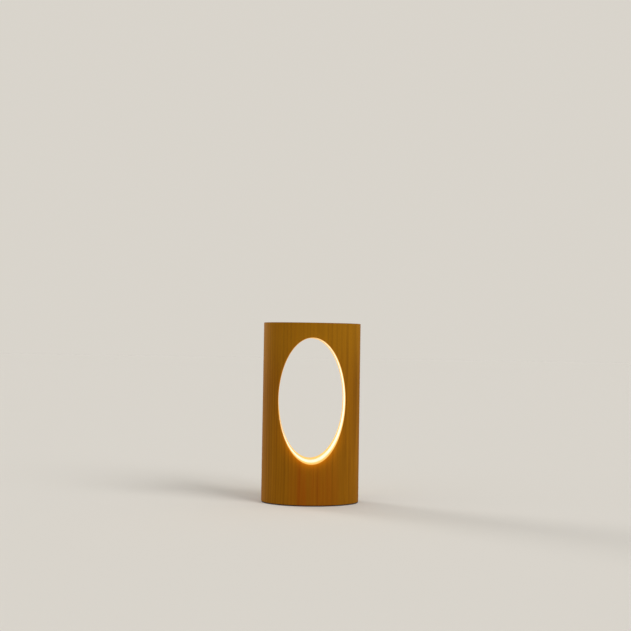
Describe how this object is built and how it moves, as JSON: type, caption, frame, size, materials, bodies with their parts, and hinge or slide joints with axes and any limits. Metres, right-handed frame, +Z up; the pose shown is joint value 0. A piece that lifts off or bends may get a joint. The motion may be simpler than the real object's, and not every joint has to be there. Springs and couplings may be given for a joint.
{
  "type": "table lamp",
  "caption": "Upright oval block of solid wood with a tall oval window, a glowing band round the window's wall, and a flat rechargeable foot.",
  "frame": {"origin": "middle of the foot pad's underside, on the table", "axes": "+X across the lamp to the right seen from the front, +Y to the back with the socket and button, +Z up"},
  "size_m": [0.098, 0.055, 0.18],
  "materials": {
    "wood": "satin oiled wood, upright grain",
    "frosted_silicone": "frosted, lights from within",
    "strip_film": "thin white film",
    "light_chip": "small light-emitting chip",
    "foot_rubber": "matt, fine-grained rubber",
    "black_plastic": "fine moulded texture",
    "zinc_steel": "zinc plated",
    "black_steel": "black oxide",
    "circuit_board": "green solder mask",
    "chip_plastic": "moulded black",
    "socket_steel": "nickel plated",
    "contact_gold": "gold plated",
    "button_metal": "fine blasted, anodised",
    "spring_steel": "drawn wire",
    "plunger_plastic": "smooth",
    "clear_acrylic": "frosted end",
    "white_nylon": "moulded",
    "cell_pouch": "silver laminate pouch",
    "foam": "open-celled adhesive foam",
    "red_lead": "smooth insulation",
    "black_lead": "smooth insulation"
  },
  "bodies": {
    "root": {"wood_body": "wood", "light_band": "frosted_silicone", "light_strip": "strip_film", "light_chips": "light_chip", "foot_pad": "foot_rubber", "base_cover": "black_plastic", "cover_screws": "zinc_steel", "back_plate": "black_plastic", "plate_screws": "black_steel", "control_board": "circuit_board", "board_screws": "zinc_steel", "board_parts": "chip_plastic", "socket_shell": "socket_steel", "socket_tongue": "chip_plastic", "socket_contacts": "contact_gold", "header_pins": "zinc_steel", "button_spring": "spring_steel", "switch_housing": "chip_plastic", "light_pipe": "clear_acrylic", "charge_light": "light_chip", "light_header": "white_nylon", "cell_header": "white_nylon", "light_plug": "white_nylon", "cell_plug": "white_nylon", "flat_cell": "cell_pouch", "cell_foam": "foam", "guard_board": "circuit_board", "light_lead_red": "red_lead", "light_lead_black": "black_lead", "cell_lead_red": "red_lead", "cell_lead_black": "black_lead"},
    "button": {"button_cap": "button_metal", "switch_plunger": "plunger_plastic"}
  },
  "joints": [
    {"name": "button_press", "type": "slide", "parent": "root", "child": "button", "axis": [0, -1, 0], "range_m": [0, 0.0008], "stiffness_N_per_m": 1000, "springref_m": -0.001, "deforming": ["button_spring"]}
  ]
}
